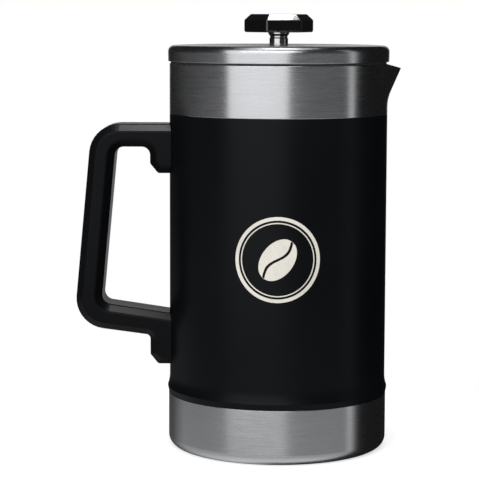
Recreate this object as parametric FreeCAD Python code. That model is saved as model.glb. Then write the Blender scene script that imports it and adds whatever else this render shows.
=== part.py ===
import FreeCAD, Part
import math
import os

# Insulated french press. Millimetres, +Z up, origin on the vessel's axis at the plane that it stands on.
# The pouring beak points along +X, the handle along -X.

V = FreeCAD.Vector
UP = V(0, 0, 1)
touch = 0.01  # two places closer than this are the same place

# Vessel, outside
body_radius = 60.5
body_wall = 0.8
base_band_height = 30.6
sleeve_height = 156.1
collar_height = 27.9
collar_stand_out = 0.05
collar_wall = 1.2
bead_stand_out = 1.25
bead_height = 3.3
bead_flank = 3.6
bead_flank_radius = 19.0
bead_nose_radius = 1.2
cup_stand_out = 0.6
cup_wall = 0.8
foot_radius = 5.9
foot_ring_width = 9.0
foot_recess = 1.5
foot_step_round = 1.0

# Pouring beak
beak_slope = 0.433
beak_start_above_seam = 8.4
beak_blend = 4.5
beak_half_angle = 18.0
beak_sharpness = 1.35
beak_tip_round = 0.14
beak_lip_angle = 14.5
beak_lip_start = 2.35
beak_sections = 8
beak_points = 12

# Vessel, inside
vacuum_gap = 6.9
liner_wall = 0.8
floor_gap = 3.2
liner_corner = 9.0
shoulder_below_seam = 11.5
shoulder_height = 7.5
shoulder_round = 5.0
shell_bottom_height = 8.0
shell_bottom_flange = 2.0
shell_bottom_round = 1.0
port_radius = 2.0
port_head_radius = 3.6
port_head_height = 1.4
port_head_round = 0.8
getter_radius = 5.0
getter_height = 1.6
getter_chamfer = 0.4
getter_place = 22.0

# Badge
badge_radius = 23.0
badge_height = 112.0
badge_thickness = 0.1

# Handle
handle_width = 28.0
handle_chamfer = 3.8
handle_edge_round = 1.0
handle_top_below_seam = 5.7
handle_stand_out = 42.85
grip_lean = 5.35
grip_thickness = 14.3
upper_arm_thickness = 12.6
lower_arm_height = 63.0
lower_arm_slope = 7.4
lower_arm_thickness = 14.3
outer_corner = 16.8
inner_corner = 5.2
pad_depth = 10.5
pad_arch = 4.6
pad_gap = 0.2
pad_chamfer_width = 4.4
pad_chamfer_height = 5.4
upper_pad_height = 27.2
lower_pad_height = 16.3

# Handle brackets and screws
bracket_sheet = 1.5
bracket_width = 16.0
bracket_height = 13.5
bracket_above_head = 0.4
tab_width = 11.0
tab_length = 8.0
tab_thickness = 3.0
tab_above_sheet = 5.0
pocket_clearance = 0.2
screw_radius = 1.75
screw_head_radius = 2.9
screw_head_height = 2.2
screw_head_round = 0.6
screw_past_tab = 1.0
screw_place = 4.2
screw_head_above_pad = 1.8
screw_hex = 1.3

# Lid
gasket_thickness = 1.0
gasket_width = 0.95
lid_skirt_height = 8.8
lid_stand_out = 1.0
lid_wall = 0.95
lid_edge_radius = 3.35
lid_skirt_taper = 0.15
plug_clearance = 0.45
plug_wall = 1.8
plug_depth = 18.0
plug_disc = 3.0
plug_boss_wall = 4.9
plug_inner_round = 1.0
plug_edge_round = 0.5
slot_width = 1.8
slot_height = 12.0
slot_count = 13
slot_pitch_angle = 5.5

# Rod guide
rod_radius = 3.0
rod_clearance = 0.05
chimney_wall = 2.12
chimney_height = 4.1
chimney_edge_round = 0.35
guide_neck_wall = 1.05
guide_lead_in = 0.5
guide_nut_height = 3.2
guide_nut_wall = 2.4
guide_thread_below_nut = 0.8
washer_width = 3.9
washer_thickness = 0.8
o_ring_section = 0.55
o_ring_clearance = 0.1
o_ring_height = 2.0

# Knob
ferrule_height = 3.1
ferrule_wall = 1.9
ferrule_top_wall = 2.87
ferrule_flare = (1.1, 2.3)
ferrule_round = 0.4
knob_corner_radius = 19.6
knob_side_height = 6.65
knob_height = 10.0
knob_top_ratio = 0.812
knob_turn = 9.9
knob_corner_round = 1.3
knob_edge_round = 0.4
knob_bottom_chamfer = 0.7
insert_wall = 2.0
insert_height = 7.5
rod_into_knob = 6.5

# Filter stack
filter_above_floor = 11.2
plate_thickness = 0.8
cross_clearance = 5.5
cross_spoke_width = 8.0
window_edge = 5.5
outer_window_width = 12.0
window_bridge = 5.0
hub_width = 4.07
screen_thickness = 0.3
screen_clearance = 0.5
screen_lip = 3.4
screen_round = 0.5
spring_section = 1.75
plate_rim_height = 4.2
plate_rim_round = 0.6
inner_hole_radius = 4.0
inner_hole_pitch = 14.4
outer_hole_radius = 5.2
outer_hole_pitch = 18.3
outer_hole_edge = 7.5
filter_nut_wall = 3.0
filter_nut_height = 5.0
end_nut_height = 5.0
end_nut_round = 2.2
rod_below_stack = 3.0
rod_chamfer = 0.5

# Heights and radii that follow from the sizes above
seam_low = base_band_height
seam_high = seam_low + sleeve_height
rim = seam_high + collar_height
lid_low = rim + gasket_thickness
lid_top = lid_low + lid_skirt_height
chimney_top = lid_top + chimney_height
knob_low = chimney_top + ferrule_height
cup_radius = body_radius + cup_stand_out
sleeve_inner = body_radius - body_wall
tail_radius = cup_radius - cup_wall
collar_radius = body_radius + collar_stand_out
collar_inner = collar_radius - collar_wall
plug_radius = collar_inner - plug_clearance
lid_radius = body_radius + lid_stand_out
lid_inner = lid_radius - lid_skirt_taper - lid_wall
plug_low = rim - plug_depth + gasket_thickness
beak_start = seam_high + beak_start_above_seam
handle_reach = body_radius + handle_stand_out
liner_radius = sleeve_inner - vacuum_gap - liner_wall
liner_floor = shell_bottom_height + body_wall + floor_gap
stack_low = liner_floor + liner_wall + filter_above_floor
guide_bore = rod_radius + rod_clearance
guide_neck_radius = guide_bore + guide_neck_wall
chimney_radius = guide_bore + chimney_wall
guide_nut_flats = 2 * (guide_neck_radius + guide_nut_wall)
washer_radius = guide_neck_radius + washer_width
plug_boss_radius = guide_neck_radius + plug_boss_wall
ferrule_radius = rod_radius + ferrule_wall
ferrule_top_radius = rod_radius + ferrule_top_wall
insert_radius = rod_radius + insert_wall
filter_nut_flats = 2 * (rod_radius + filter_nut_wall)
filter_nut_corner = filter_nut_flats / math.sqrt(3)
cross_radius = liner_radius - cross_clearance
outer_window_high = cross_radius - window_edge
outer_window_low = outer_window_high - outer_window_width
inner_window_high = outer_window_low - window_bridge
inner_window_low = filter_nut_corner + hub_width


def outline(corners):
    """Closed wire in the XZ plane through (x, z, radius) corners. A radius above 0 rounds its corner."""
    stops = []
    for i, (x, z, radius) in enumerate(corners):
        here = V(x, 0, z)
        before = corners[i - 1]
        after = corners[(i + 1) % len(corners)]
        back = (V(before[0], 0, before[1]) - here).normalize()
        ahead = (V(after[0], 0, after[1]) - here).normalize()
        if radius == 0:
            stops.append((here, None, here))
            continue
        half = back.getAngle(ahead) / 2
        start = here + back * (radius / math.tan(half))
        end = here + ahead * (radius / math.tan(half))
        middle = here + (back + ahead).normalize() * (radius / math.sin(half) - radius)
        stops.append((start, middle, end))
    edges = []
    for (start, middle, end), following in zip(stops, stops[1:] + stops[:1]):
        if middle is not None:
            edges.append(Part.Arc(start, middle, end).toShape())
        if end.distanceToPoint(following[0]) > 1e-6:
            edges.append(Part.makeLine(end, following[0]))
    return Part.Wire(edges)


def turned(corners):
    """Solid of revolution about Z from an outline of (radius, z, corner radius)."""
    return Part.Face(outline(corners)).revolve(V(0, 0, 0), UP, 360)


def disc(radius, low, high):
    return Part.makeCylinder(radius, high - low, V(0, 0, low))


def tube(outer, inner, low, high):
    return disc(outer, low, high).cut(disc(inner, low, high))


def block(x_range, y_range, z_range):
    size = [end - start for start, end in (x_range, y_range, z_range)]
    return Part.makeBox(*size, V(x_range[0], y_range[0], z_range[0]))


def hexagon(corner_radius, z, turn=0.0):
    """Closed hexagonal wire at height z."""
    points = []
    for i in range(7):
        angle = math.radians(turn + 60 * i)
        points.append(V(corner_radius * math.cos(angle), corner_radius * math.sin(angle), z))
    return Part.makePolygon(points)


def hex_prism(flats, low, high, turn=0.0):
    """Hexagonal prism, sized across its flats."""
    face = Part.Face(hexagon(flats / math.sqrt(3), low, turn))
    return face.extrude(V(0, 0, high - low))


def edges_at(solid, height):
    """The solid's edges that are centred at one height."""
    return [edge for edge in solid.Edges if abs(edge.CenterOfMass.z - height) < touch]


# Vessel


def make_outer_shell():
    """Coated sleeve: straight wall, flared bead above the base band, and a tail inside the base cup."""
    ridge = body_radius + bead_stand_out
    ridge_height = seam_low + bead_height
    flank_top = ridge_height + bead_flank
    outside = turned([
        (0, shell_bottom_height - shell_bottom_flange, 0),
        (tail_radius, shell_bottom_height - shell_bottom_flange, 0),
        (tail_radius, seam_low, 0),
        (cup_radius, seam_low, 0),
        (ridge, ridge_height, bead_nose_radius),
        (body_radius, flank_top, bead_flank_radius),
        (body_radius, seam_high, 0),
        (0, seam_high, 0),
    ])
    inside = turned([
        (0, shell_bottom_height - shell_bottom_flange, 0),
        (tail_radius - body_wall, shell_bottom_height - shell_bottom_flange, 0),
        (tail_radius - body_wall, seam_low + body_wall, 0),
        (ridge - body_wall, ridge_height, bead_nose_radius / 2),
        (sleeve_inner, flank_top, bead_flank_radius),
        (sleeve_inner, seam_high, 0),
        (0, seam_high, 0),
    ])
    return outside.cut(inside)


def make_base_cup():
    """Bare cup over the sleeve's tail, standing on a ring around a raised centre."""
    ring_outer = cup_radius - foot_radius
    ring_inner = ring_outer - foot_ring_width
    outside = turned([
        (0, foot_recess, 0),
        (ring_inner - foot_recess, foot_recess, foot_step_round),
        (ring_inner, 0, foot_step_round),
        (cup_radius, 0, foot_radius),
        (cup_radius, seam_low, 0),
        (0, seam_low, 0),
    ])
    inside = turned([
        (0, foot_recess + cup_wall, 0),
        (ring_inner, foot_recess + cup_wall, foot_step_round),
        (ring_inner + foot_recess, cup_wall, foot_step_round),
        (cup_radius - cup_wall, cup_wall, foot_radius - cup_wall),
        (cup_radius - cup_wall, seam_low, 0),
        (0, seam_low, 0),
    ])
    return outside.cut(inside)


def make_inner_liner():
    """Inner wall: flat floor, straight wall, and a shoulder that flares out to the sleeve at the seam."""
    liner_outer = liner_radius + liner_wall
    shoulder_low = seam_high - shoulder_below_seam
    shoulder_high = shoulder_low + shoulder_height
    outside = turned([
        (0, liner_floor, 0),
        (liner_outer, liner_floor, liner_corner + liner_wall),
        (liner_outer, shoulder_low, shoulder_round),
        (sleeve_inner, shoulder_high, shoulder_round / 2),
        (sleeve_inner, seam_high, 0),
        (0, seam_high, 0),
    ])
    inside = turned([
        (0, liner_floor + liner_wall, 0),
        (liner_radius, liner_floor + liner_wall, liner_corner),
        (liner_radius, shoulder_low + liner_wall / 2, shoulder_round),
        (sleeve_inner - liner_wall, shoulder_high + liner_wall / 2, shoulder_round / 2),
        (sleeve_inner - liner_wall, seam_high, 0),
        (0, seam_high, 0),
    ])
    return outside.cut(inside)


def beak_reach(z):
    """How far the beak's keel stands out of the collar at height z: a straight slope, blended at its foot."""
    above = z - beak_start
    if above >= beak_blend:
        return beak_slope * above
    return beak_slope * (above + beak_blend) ** 2 / (4 * beak_blend)


def collar_section(radius, z):
    """Closed wire at height z: a circle whose +X side is drawn out into the beak."""
    half_angle = math.radians(beak_half_angle)
    points = []
    for i in range(-beak_points, beak_points + 1):
        share = i / beak_points
        soft = math.hypot(share, beak_tip_round) - beak_tip_round
        full = math.hypot(1, beak_tip_round) - beak_tip_round
        stand_out = beak_reach(z) * max(0.0, 1 - soft / full) ** beak_sharpness
        angle = share * half_angle
        distance = radius + stand_out
        points.append(V(distance * math.cos(angle), distance * math.sin(angle), z))
    side = Part.BSplineCurve()
    tangent = V(math.sin(half_angle), math.cos(half_angle), 0)
    side.interpolate(Points=points, InitialTangent=tangent, FinalTangent=V(-tangent.x, tangent.y, 0))
    back = Part.Arc(points[-1], V(-radius, 0, z), points[0])
    return Part.Wire([side.toShape(), back.toShape()])


def collar_form(radius):
    """Solid inside a collar wall: straight from the seam up to the beak's foot, then lofted to the rim."""
    beak_low = beak_start - beak_blend
    sections = []
    for i in range(beak_sections + 1):
        sections.append(collar_section(radius, beak_low + (rim - beak_low) * i / beak_sections))
    straight = Part.Face(sections[0]).extrude(V(0, 0, seam_high - beak_low))
    return straight.fuse(Part.makeLoft(sections, True, False))


def make_spout_collar():
    """Bare collar on the seam. Its wall is drawn out into a beak, and the beak's lip is cut on a slope."""
    wall = collar_form(collar_radius).cut(collar_form(collar_inner))
    lip_start = collar_radius - beak_lip_start
    lip_end = lip_start + collar_radius
    lip_drop = collar_radius * math.tan(math.radians(beak_lip_angle))
    wedge = Part.Face(outline([
        (lip_start, rim, 0),
        (lip_end, rim - lip_drop, 0),
        (lip_end, rim + lip_drop, 0),
        (lip_start, rim + lip_drop, 0),
    ]))
    wedge.translate(V(0, -body_radius, 0))
    return wall.cut(wedge.extrude(V(0, 2 * body_radius, 0))).removeSplitter()


def make_shell_bottom():
    """Disc with a turned-down flange, welded into the sleeve's tail. The port is in its centre."""
    low = shell_bottom_height - shell_bottom_flange
    outer = tail_radius - body_wall
    return turned([
        (port_radius, shell_bottom_height, 0),
        (outer - body_wall, shell_bottom_height, shell_bottom_round),
        (outer - body_wall, low, 0),
        (outer, low, 0),
        (outer, shell_bottom_height + body_wall, shell_bottom_round + body_wall),
        (port_radius, shell_bottom_height + body_wall, 0),
    ])


def make_port_seal():
    """Plug that closes the evacuation port, with its head under the disc."""
    return turned([
        (0, shell_bottom_height - port_head_height, 0),
        (port_head_radius, shell_bottom_height - port_head_height, port_head_round),
        (port_head_radius, shell_bottom_height, 0),
        (port_radius, shell_bottom_height, 0),
        (port_radius, shell_bottom_height + body_wall, 0),
        (0, shell_bottom_height + body_wall, 0),
    ])


def make_getter():
    """Getter pill on the disc, inside the vacuum."""
    low = shell_bottom_height + body_wall
    pill = Part.makeCylinder(getter_radius, getter_height, V(getter_place, 0, low))
    return pill.makeChamfer(getter_chamfer, edges_at(pill, low + getter_height))


def make_badge():
    """Round printed badge on the side of the sleeve that faces -Y."""
    low = badge_height - badge_radius
    high = badge_height + badge_radius
    skin = tube(body_radius + badge_thickness, body_radius, low, high)
    cutter = Part.makeCylinder(badge_radius, 2 * body_radius, V(0, 0, badge_height), V(0, -1, 0))
    return skin.common(cutter)


# Handle


def make_handle_blank():
    """Loop of octagonal section, without its pockets: a C-shaped outline, extruded and chamfered."""
    top = seam_high - handle_top_below_seam
    lean = math.tan(math.radians(grip_lean))
    slope = math.tan(math.radians(lower_arm_slope))
    grip_shift = grip_thickness / math.cos(math.radians(grip_lean))
    arm_shift = lower_arm_thickness / math.cos(math.radians(lower_arm_slope))
    wall = body_radius - pad_depth / 2
    pad_face = body_radius + pad_depth
    upper_pad_low = top - upper_pad_height
    lower_pad_low = lower_arm_height - lower_pad_height

    def grip_x(z, shift):
        return -(handle_reach + lean * (top - z)) + shift

    def arm_z(x, shift):
        return lower_arm_height - slope * (x + pad_face) + shift

    def meeting(shift_x, shift_z):
        """Where the grip's line and the lower arm's line cross."""
        arm_at_grip = lower_arm_height + shift_z - slope * (pad_face - handle_reach - lean * top + shift_x)
        z = arm_at_grip / (1 + slope * lean)
        return grip_x(z, shift_x), z

    outer_low = meeting(0, 0)
    inner_low = meeting(grip_shift, arm_shift)
    under = top - upper_arm_thickness
    profile = outline([
        (-wall, top, 0),
        (-handle_reach, top, outer_corner),
        (*outer_low, outer_corner),
        (-pad_face, arm_z(-pad_face, 0), 0),
        (-pad_face, lower_pad_low + pad_chamfer_height, 0),
        (-pad_face + pad_chamfer_width, lower_pad_low, 0),
        (-wall, lower_pad_low, 0),
        (-wall, arm_z(-wall, arm_shift), 0),
        (*inner_low, inner_corner),
        (grip_x(under, grip_shift), under, inner_corner),
        (-pad_face, under, pad_arch),
        (-pad_face, upper_pad_low + pad_chamfer_height, 0),
        (-pad_face + pad_chamfer_width, upper_pad_low, 0),
        (-wall, upper_pad_low, 0),
    ])
    face = Part.Face(profile)
    face.translate(V(0, -handle_width / 2, 0))
    solid = face.extrude(V(0, handle_width, 0))

    def long_edges(shape, half_width):
        """Edges of the shape that run along the loop at that distance from its middle plane."""
        found = []
        for edge in shape.Edges:
            centre = edge.CenterOfMass
            if abs(abs(centre.y) - half_width) < touch and centre.x < -wall - touch:
                found.append(edge)
        return found

    half = handle_width / 2
    solid = solid.makeChamfer(handle_chamfer, long_edges(solid, half))
    soft = long_edges(solid, half) + long_edges(solid, half - handle_chamfer)
    return solid.makeFillet(handle_edge_round, soft)


def pad_low(name):
    """Height of a pad's underside."""
    if name == "upper":
        return seam_high - handle_top_below_seam - upper_pad_height
    return lower_arm_height - lower_pad_height


def bracket_low(name):
    """Lower edge of a bracket, just above its screw's head."""
    return pad_low(name) + screw_head_above_pad + screw_head_height + bracket_above_head


def bracket_form(name, room):
    """Curved sheet against the sleeve with a tab, all larger by room except under the tab."""
    low = bracket_low(name)
    half = bracket_width / 2 + room
    sheet = tube(body_radius + bracket_sheet + room, body_radius, low - room, low + bracket_height + room)
    high = low + bracket_height
    sheet = sheet.common(block((-2 * body_radius, 0), (-half, half), (low - room, high + room)))
    tab_end = body_radius + tab_length + room
    tab_half = tab_width / 2 + room
    tab_low = low + tab_above_sheet
    tab_high = tab_low + tab_thickness + room
    tab = block((-tab_end, 0), (-tab_half, tab_half), (tab_low, tab_high))
    return sheet.fuse(tab.cut(disc(body_radius, tab_low, tab_high))).removeSplitter()


def screw_shank(name, radius, low, high):
    return Part.makeCylinder(radius, high - low, V(-body_radius - screw_place, 0, low))


def screw_levels(name):
    """Undersides of head and shank, and the shank's top."""
    head_low = pad_low(name) + screw_head_above_pad
    tab_top = bracket_low(name) + tab_above_sheet + tab_thickness
    return head_low, head_low + screw_head_height, tab_top + screw_past_tab


def make_bracket(name):
    _, shank_low, shank_top = screw_levels(name)
    return bracket_form(name, 0).cut(screw_shank(name, screw_radius, shank_low, shank_top))


def make_handle():
    """The loop, cut to hug the sleeve, with pockets for the brackets and counterbores for the screws."""
    solid = make_handle_blank()
    solid = solid.cut(disc(body_radius + pad_gap, 0, rim))
    for name in ("upper", "lower"):
        _, shank_low, shank_top = screw_levels(name)
        solid = solid.cut(bracket_form(name, pocket_clearance))
        solid = solid.cut(screw_shank(name, screw_head_radius + pocket_clearance, pad_low(name), shank_low))
        hole_top = shank_top + pocket_clearance
        solid = solid.cut(screw_shank(name, screw_radius + pocket_clearance, shank_low, hole_top))
    return solid


def make_handle_screws():
    """Two hexagon-socket screws, one up through each pad."""
    screws = []
    for name in ("upper", "lower"):
        head_low, shank_low, shank_top = screw_levels(name)
        head = screw_shank(name, screw_head_radius, head_low, shank_low)
        head = head.makeFillet(screw_head_round, edges_at(head, head_low))
        socket = Part.Face(hexagon(screw_hex, head_low)).extrude(V(0, 0, screw_head_height / 2))
        socket.translate(V(-body_radius - screw_place, 0, 0))
        screws.append(head.fuse(screw_shank(name, screw_radius, shank_low, shank_top)).cut(socket))
    return Part.makeCompound(screws)


# Lid


def make_rim_gasket():
    """Ring around the plug, between the collar's rim and the lid."""
    inner = plug_radius + rod_clearance
    return tube(inner + gasket_width, inner, rim, lid_low)


def make_lid_cover():
    """Pressed cap with a slightly tapered skirt and a hole for the guide's neck."""
    skirt = lid_radius - lid_skirt_taper
    outside = turned([
        (guide_neck_radius, lid_low, 0),
        (skirt, lid_low, 0),
        (lid_radius, lid_top, lid_edge_radius),
        (guide_neck_radius, lid_top, 0),
    ])
    inside = turned([
        (guide_neck_radius, lid_low, 0),
        (lid_inner, lid_low, 0),
        (lid_inner, lid_top - lid_wall, lid_edge_radius - lid_wall),
        (guide_neck_radius, lid_top - lid_wall, 0),
    ])
    return outside.cut(inside)


def make_lid_plug():
    """Plastic plug: a disc in the cover, a rim and a boss up to its underside, and a slotted skirt below."""
    under_cover = lid_top - lid_wall
    rim_top = under_cover - lid_edge_radius
    body = turned([
        (guide_neck_radius, lid_low, 0),
        (plug_radius - plug_wall, lid_low, plug_inner_round),
        (plug_radius - plug_wall, plug_low, 0),
        (plug_radius, plug_low, plug_edge_round),
        (plug_radius, lid_low, 0),
        (lid_inner, lid_low, 0),
        (lid_inner, rim_top, 0),
        (lid_inner - plug_wall, rim_top, 0),
        (lid_inner - plug_wall, lid_low + plug_disc, plug_edge_round),
        (plug_boss_radius, lid_low + plug_disc, plug_edge_round),
        (plug_boss_radius, under_cover, 0),
        (guide_neck_radius, under_cover, 0),
    ])
    for i in range(slot_count):
        low = plug_low + (plug_depth - slot_height) / 2
        span = (plug_radius - 2 * plug_wall, plug_radius + plug_wall)
        slot = block(span, (-slot_width / 2, slot_width / 2), (low, low + slot_height))
        slot.rotate(V(0, 0, 0), UP, slot_pitch_angle * (i - (slot_count - 1) / 2))
        body = body.cut(slot)
    return body


def make_rod_guide():
    """Polished chimney on the lid, with a neck through cover and plug and a groove for the o-ring."""
    neck_low = lid_low - washer_thickness - guide_nut_height - guide_thread_below_nut
    body = turned([
        (guide_bore, neck_low, 0),
        (guide_neck_radius - guide_lead_in, neck_low, 0),
        (guide_neck_radius, neck_low + guide_lead_in, 0),
        (guide_neck_radius, lid_top, 0),
        (chimney_radius, lid_top, 0),
        (chimney_radius, chimney_top, chimney_edge_round),
        (guide_bore, chimney_top, 0),
    ])
    groove_radius = guide_bore + 2 * o_ring_section + o_ring_clearance
    groove_low = lid_top + o_ring_height - o_ring_section - o_ring_clearance
    groove_high = lid_top + o_ring_height + o_ring_section + o_ring_clearance
    return body.cut(tube(groove_radius, rod_radius, groove_low, groove_high))


def make_guide_washer():
    return tube(washer_radius, guide_neck_radius, lid_low - washer_thickness, lid_low)


def make_guide_nut():
    high = lid_low - washer_thickness
    nut = hex_prism(guide_nut_flats, high - guide_nut_height, high)
    return nut.cut(disc(guide_neck_radius, high - guide_nut_height, high))


def make_rod_o_ring():
    centre = guide_bore + o_ring_section
    return Part.makeTorus(centre, o_ring_section, V(0, 0, lid_top + o_ring_height))


# Plunger


def make_knob_collar():
    """Flared ferrule that meets the chimney when the plunger is down."""
    return turned([
        (rod_radius, chimney_top, 0),
        (ferrule_radius, chimney_top, ferrule_round),
        (ferrule_radius, chimney_top + ferrule_flare[0], ferrule_round),
        (ferrule_top_radius, chimney_top + ferrule_flare[1], ferrule_round),
        (ferrule_top_radius, knob_low, 0),
        (rod_radius, knob_low, 0),
    ])


def make_knob():
    """Hexagonal slab with rounded corners, a wide top chamfer and a bore for its insert."""
    side_high = knob_low + knob_side_height
    high = knob_low + knob_height
    prism = Part.Face(hexagon(knob_corner_radius, knob_low, knob_turn)).extrude(V(0, 0, knob_height))
    prism = prism.makeFillet(knob_corner_round, edges_at(prism, knob_low + knob_height / 2))
    crown = Part.makeLoft([
        hexagon(knob_corner_radius, side_high, knob_turn),
        hexagon(knob_corner_radius * knob_top_ratio, high, knob_turn),
    ], True, True)
    lower = Part.Face(hexagon(knob_corner_radius, knob_low, knob_turn)).extrude(V(0, 0, knob_side_height))
    solid = prism.common(crown.fuse(lower))
    solid = solid.makeChamfer(knob_bottom_chamfer, edges_at(solid, knob_low))
    solid = solid.makeFillet(knob_edge_round, edges_at(solid, high))
    return solid.cut(disc(insert_radius, knob_low, knob_low + insert_height))


def make_knob_insert():
    """Threaded insert, moulded into the knob and screwed onto the rod."""
    insert = disc(insert_radius, knob_low, knob_low + insert_height)
    return insert.cut(disc(rod_radius, knob_low, knob_low + rod_into_knob))


def make_plunger_rod():
    rod = disc(rod_radius, stack_low - rod_below_stack, knob_low + rod_into_knob)
    return rod.makeChamfer(rod_chamfer, edges_at(rod, knob_low + rod_into_knob))


def make_cross_plate():
    """Plate under the mesh, with two rings of windows between its four spokes."""
    high = stack_low + plate_thickness
    plate = tube(cross_radius, rod_radius, stack_low, high)
    windows = tube(inner_window_high, inner_window_low, stack_low, high)
    windows = windows.fuse(tube(outer_window_high, outer_window_low, stack_low, high))
    for angle in (0, 90):
        half = cross_spoke_width / 2
        spoke = block((-cross_radius, cross_radius), (-half, half), (stack_low, high))
        spoke.rotate(V(0, 0, 0), UP, 45 + angle)
        windows = windows.cut(spoke)
    return plate.cut(windows)


def make_mesh_screen():
    """Woven disc, with its edge turned up around the spring."""
    low = stack_low + plate_thickness
    outer = liner_radius - screen_clearance
    return turned([
        (rod_radius, low, 0),
        (outer, low, screen_round + screen_thickness),
        (outer, low + screen_lip, 0),
        (outer - screen_thickness, low + screen_lip, 0),
        (outer - screen_thickness, low + screen_thickness, screen_round),
        (rod_radius, low + screen_thickness, 0),
    ])


def spring_centre():
    """Radius of the spring ring's centre line."""
    return liner_radius - screen_clearance - screen_thickness - spring_section


def make_edge_spring():
    """Coil spring bent into a ring, as its outer form."""
    z = stack_low + plate_thickness + screen_thickness + spring_section
    return Part.makeTorus(spring_centre(), spring_section, V(0, 0, z))


def make_spring_plate():
    """Perforated plate on the mesh, with a rim turned up inside the spring ring."""
    low = stack_low + plate_thickness + screen_thickness
    high = low + plate_thickness
    outer = spring_centre() - spring_section
    plate = turned([
        (rod_radius, low, 0),
        (outer, low, 0),
        (outer, low + plate_rim_height, 0),
        (outer - plate_thickness, low + plate_rim_height, 0),
        (outer - plate_thickness, high, plate_rim_round),
        (rod_radius, high, 0),
    ])
    outer_circle = outer - plate_thickness - outer_hole_edge - outer_hole_radius
    inner_circle = (filter_nut_corner + outer_circle - outer_hole_radius) / 2
    rings = [
        (inner_circle, inner_hole_radius, inner_hole_pitch),
        (outer_circle, outer_hole_radius, outer_hole_pitch),
    ]
    for circle, radius, pitch in rings:
        count = int(2 * math.pi * circle / pitch)
        for i in range(count):
            angle = 2 * math.pi * i / count
            place = V(circle * math.cos(angle), circle * math.sin(angle), low)
            plate = plate.cut(Part.makeCylinder(radius, plate_thickness, place))
    return plate


def make_filter_nut():
    low = stack_low + 2 * plate_thickness + screen_thickness
    nut = hex_prism(filter_nut_flats, low, low + filter_nut_height)
    return nut.cut(disc(rod_radius, low, low + filter_nut_height))


def make_rod_end_nut():
    """Cap nut under the cross plate, closed below the rod's end."""
    low = stack_low - end_nut_height
    nut = hex_prism(filter_nut_flats, low, stack_low)
    dome = turned([
        (0, low, 0),
        (filter_nut_corner, low, end_nut_round),
        (filter_nut_corner, stack_low, 0),
        (0, stack_low, 0),
    ])
    return nut.common(dome).cut(disc(rod_radius, stack_low - rod_below_stack, stack_low))


nodes = {
    "outer_shell": make_outer_shell(),
    "spout_collar": make_spout_collar(),
    "base_cup": make_base_cup(),
    "inner_liner": make_inner_liner(),
    "shell_bottom": make_shell_bottom(),
    "port_seal": make_port_seal(),
    "getter": make_getter(),
    "badge": make_badge(),
    "handle": make_handle(),
    "upper_bracket": make_bracket("upper"),
    "lower_bracket": make_bracket("lower"),
    "handle_screws": make_handle_screws(),
    "rim_gasket": make_rim_gasket(),
    "lid_cover": make_lid_cover(),
    "lid_plug": make_lid_plug(),
    "rod_guide": make_rod_guide(),
    "guide_washer": make_guide_washer(),
    "guide_nut": make_guide_nut(),
    "rod_o_ring": make_rod_o_ring(),
    "knob": make_knob(),
    "knob_insert": make_knob_insert(),
    "knob_collar": make_knob_collar(),
    "plunger_rod": make_plunger_rod(),
    "cross_plate": make_cross_plate(),
    "mesh_screen": make_mesh_screen(),
    "edge_spring": make_edge_spring(),
    "spring_plate": make_spring_plate(),
    "filter_nut": make_filter_nut(),
    "rod_end_nut": make_rod_end_nut(),
}

os.makedirs("parts", exist_ok=True)
for name, shape in nodes.items():
    shape.exportStep("parts/" + name + ".step")
    box = shape.BoundBox
    print(name, "solids", len(shape.Solids), "valid", shape.isValid(), "volume", round(shape.Volume, 1),
          "z", round(box.ZMin, 2), round(box.ZMax, 2))
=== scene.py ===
# %% [markdown]
# # A french press, finished around its measured frame
# The frame holds every part of the press at its real size and place: the insulated vessel, the lid and the
# plunger. This script builds the visible pieces again as clean, rounded meshes, gives each surface its
# finish, and lights the press in a small studio. Nothing here moves a part. A piece that is built again
# stands exactly where its part is, and rides on the same body.

# %% Load the frame
import math

import bmesh
import bpy
from mathutils import Matrix, Vector


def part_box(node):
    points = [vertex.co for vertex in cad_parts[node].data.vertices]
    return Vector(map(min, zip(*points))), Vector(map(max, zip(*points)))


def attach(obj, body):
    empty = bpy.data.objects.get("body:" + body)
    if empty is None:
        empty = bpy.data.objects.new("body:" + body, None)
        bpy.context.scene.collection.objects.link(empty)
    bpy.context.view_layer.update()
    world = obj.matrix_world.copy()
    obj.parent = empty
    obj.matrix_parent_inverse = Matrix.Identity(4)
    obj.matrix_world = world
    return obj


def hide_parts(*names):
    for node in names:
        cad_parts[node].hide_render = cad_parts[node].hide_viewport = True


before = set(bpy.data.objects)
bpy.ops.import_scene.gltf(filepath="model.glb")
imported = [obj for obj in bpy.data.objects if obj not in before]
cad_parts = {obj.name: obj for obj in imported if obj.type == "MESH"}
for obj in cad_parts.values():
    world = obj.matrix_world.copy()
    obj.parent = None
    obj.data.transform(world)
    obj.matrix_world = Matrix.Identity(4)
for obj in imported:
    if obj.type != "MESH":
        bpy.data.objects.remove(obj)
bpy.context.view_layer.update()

# %% [markdown]
# ## Measures
# Blender works in metres, and a maker thinks in millimetres, so a small helper turns one into the other.
# Heights come from the frame's boxes. A radius comes from the part's own points, because the farthest point
# of a turned part always lies on its true circle, while its box can be a little too small.

# %% Measures


def mm(value):
    """Millimetres as metres."""
    return 0.001 * value


def radius_of(node, low=-1.0, high=1.0):
    """Largest distance from the vessel's axis among a part's points between two heights."""
    points = [v.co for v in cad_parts[node].data.vertices if low <= v.co.z <= high]
    return max(math.hypot(p.x, p.y) for p in points)


def low_of(node):
    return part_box(node)[0].z


def high_of(node):
    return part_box(node)[1].z


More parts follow.
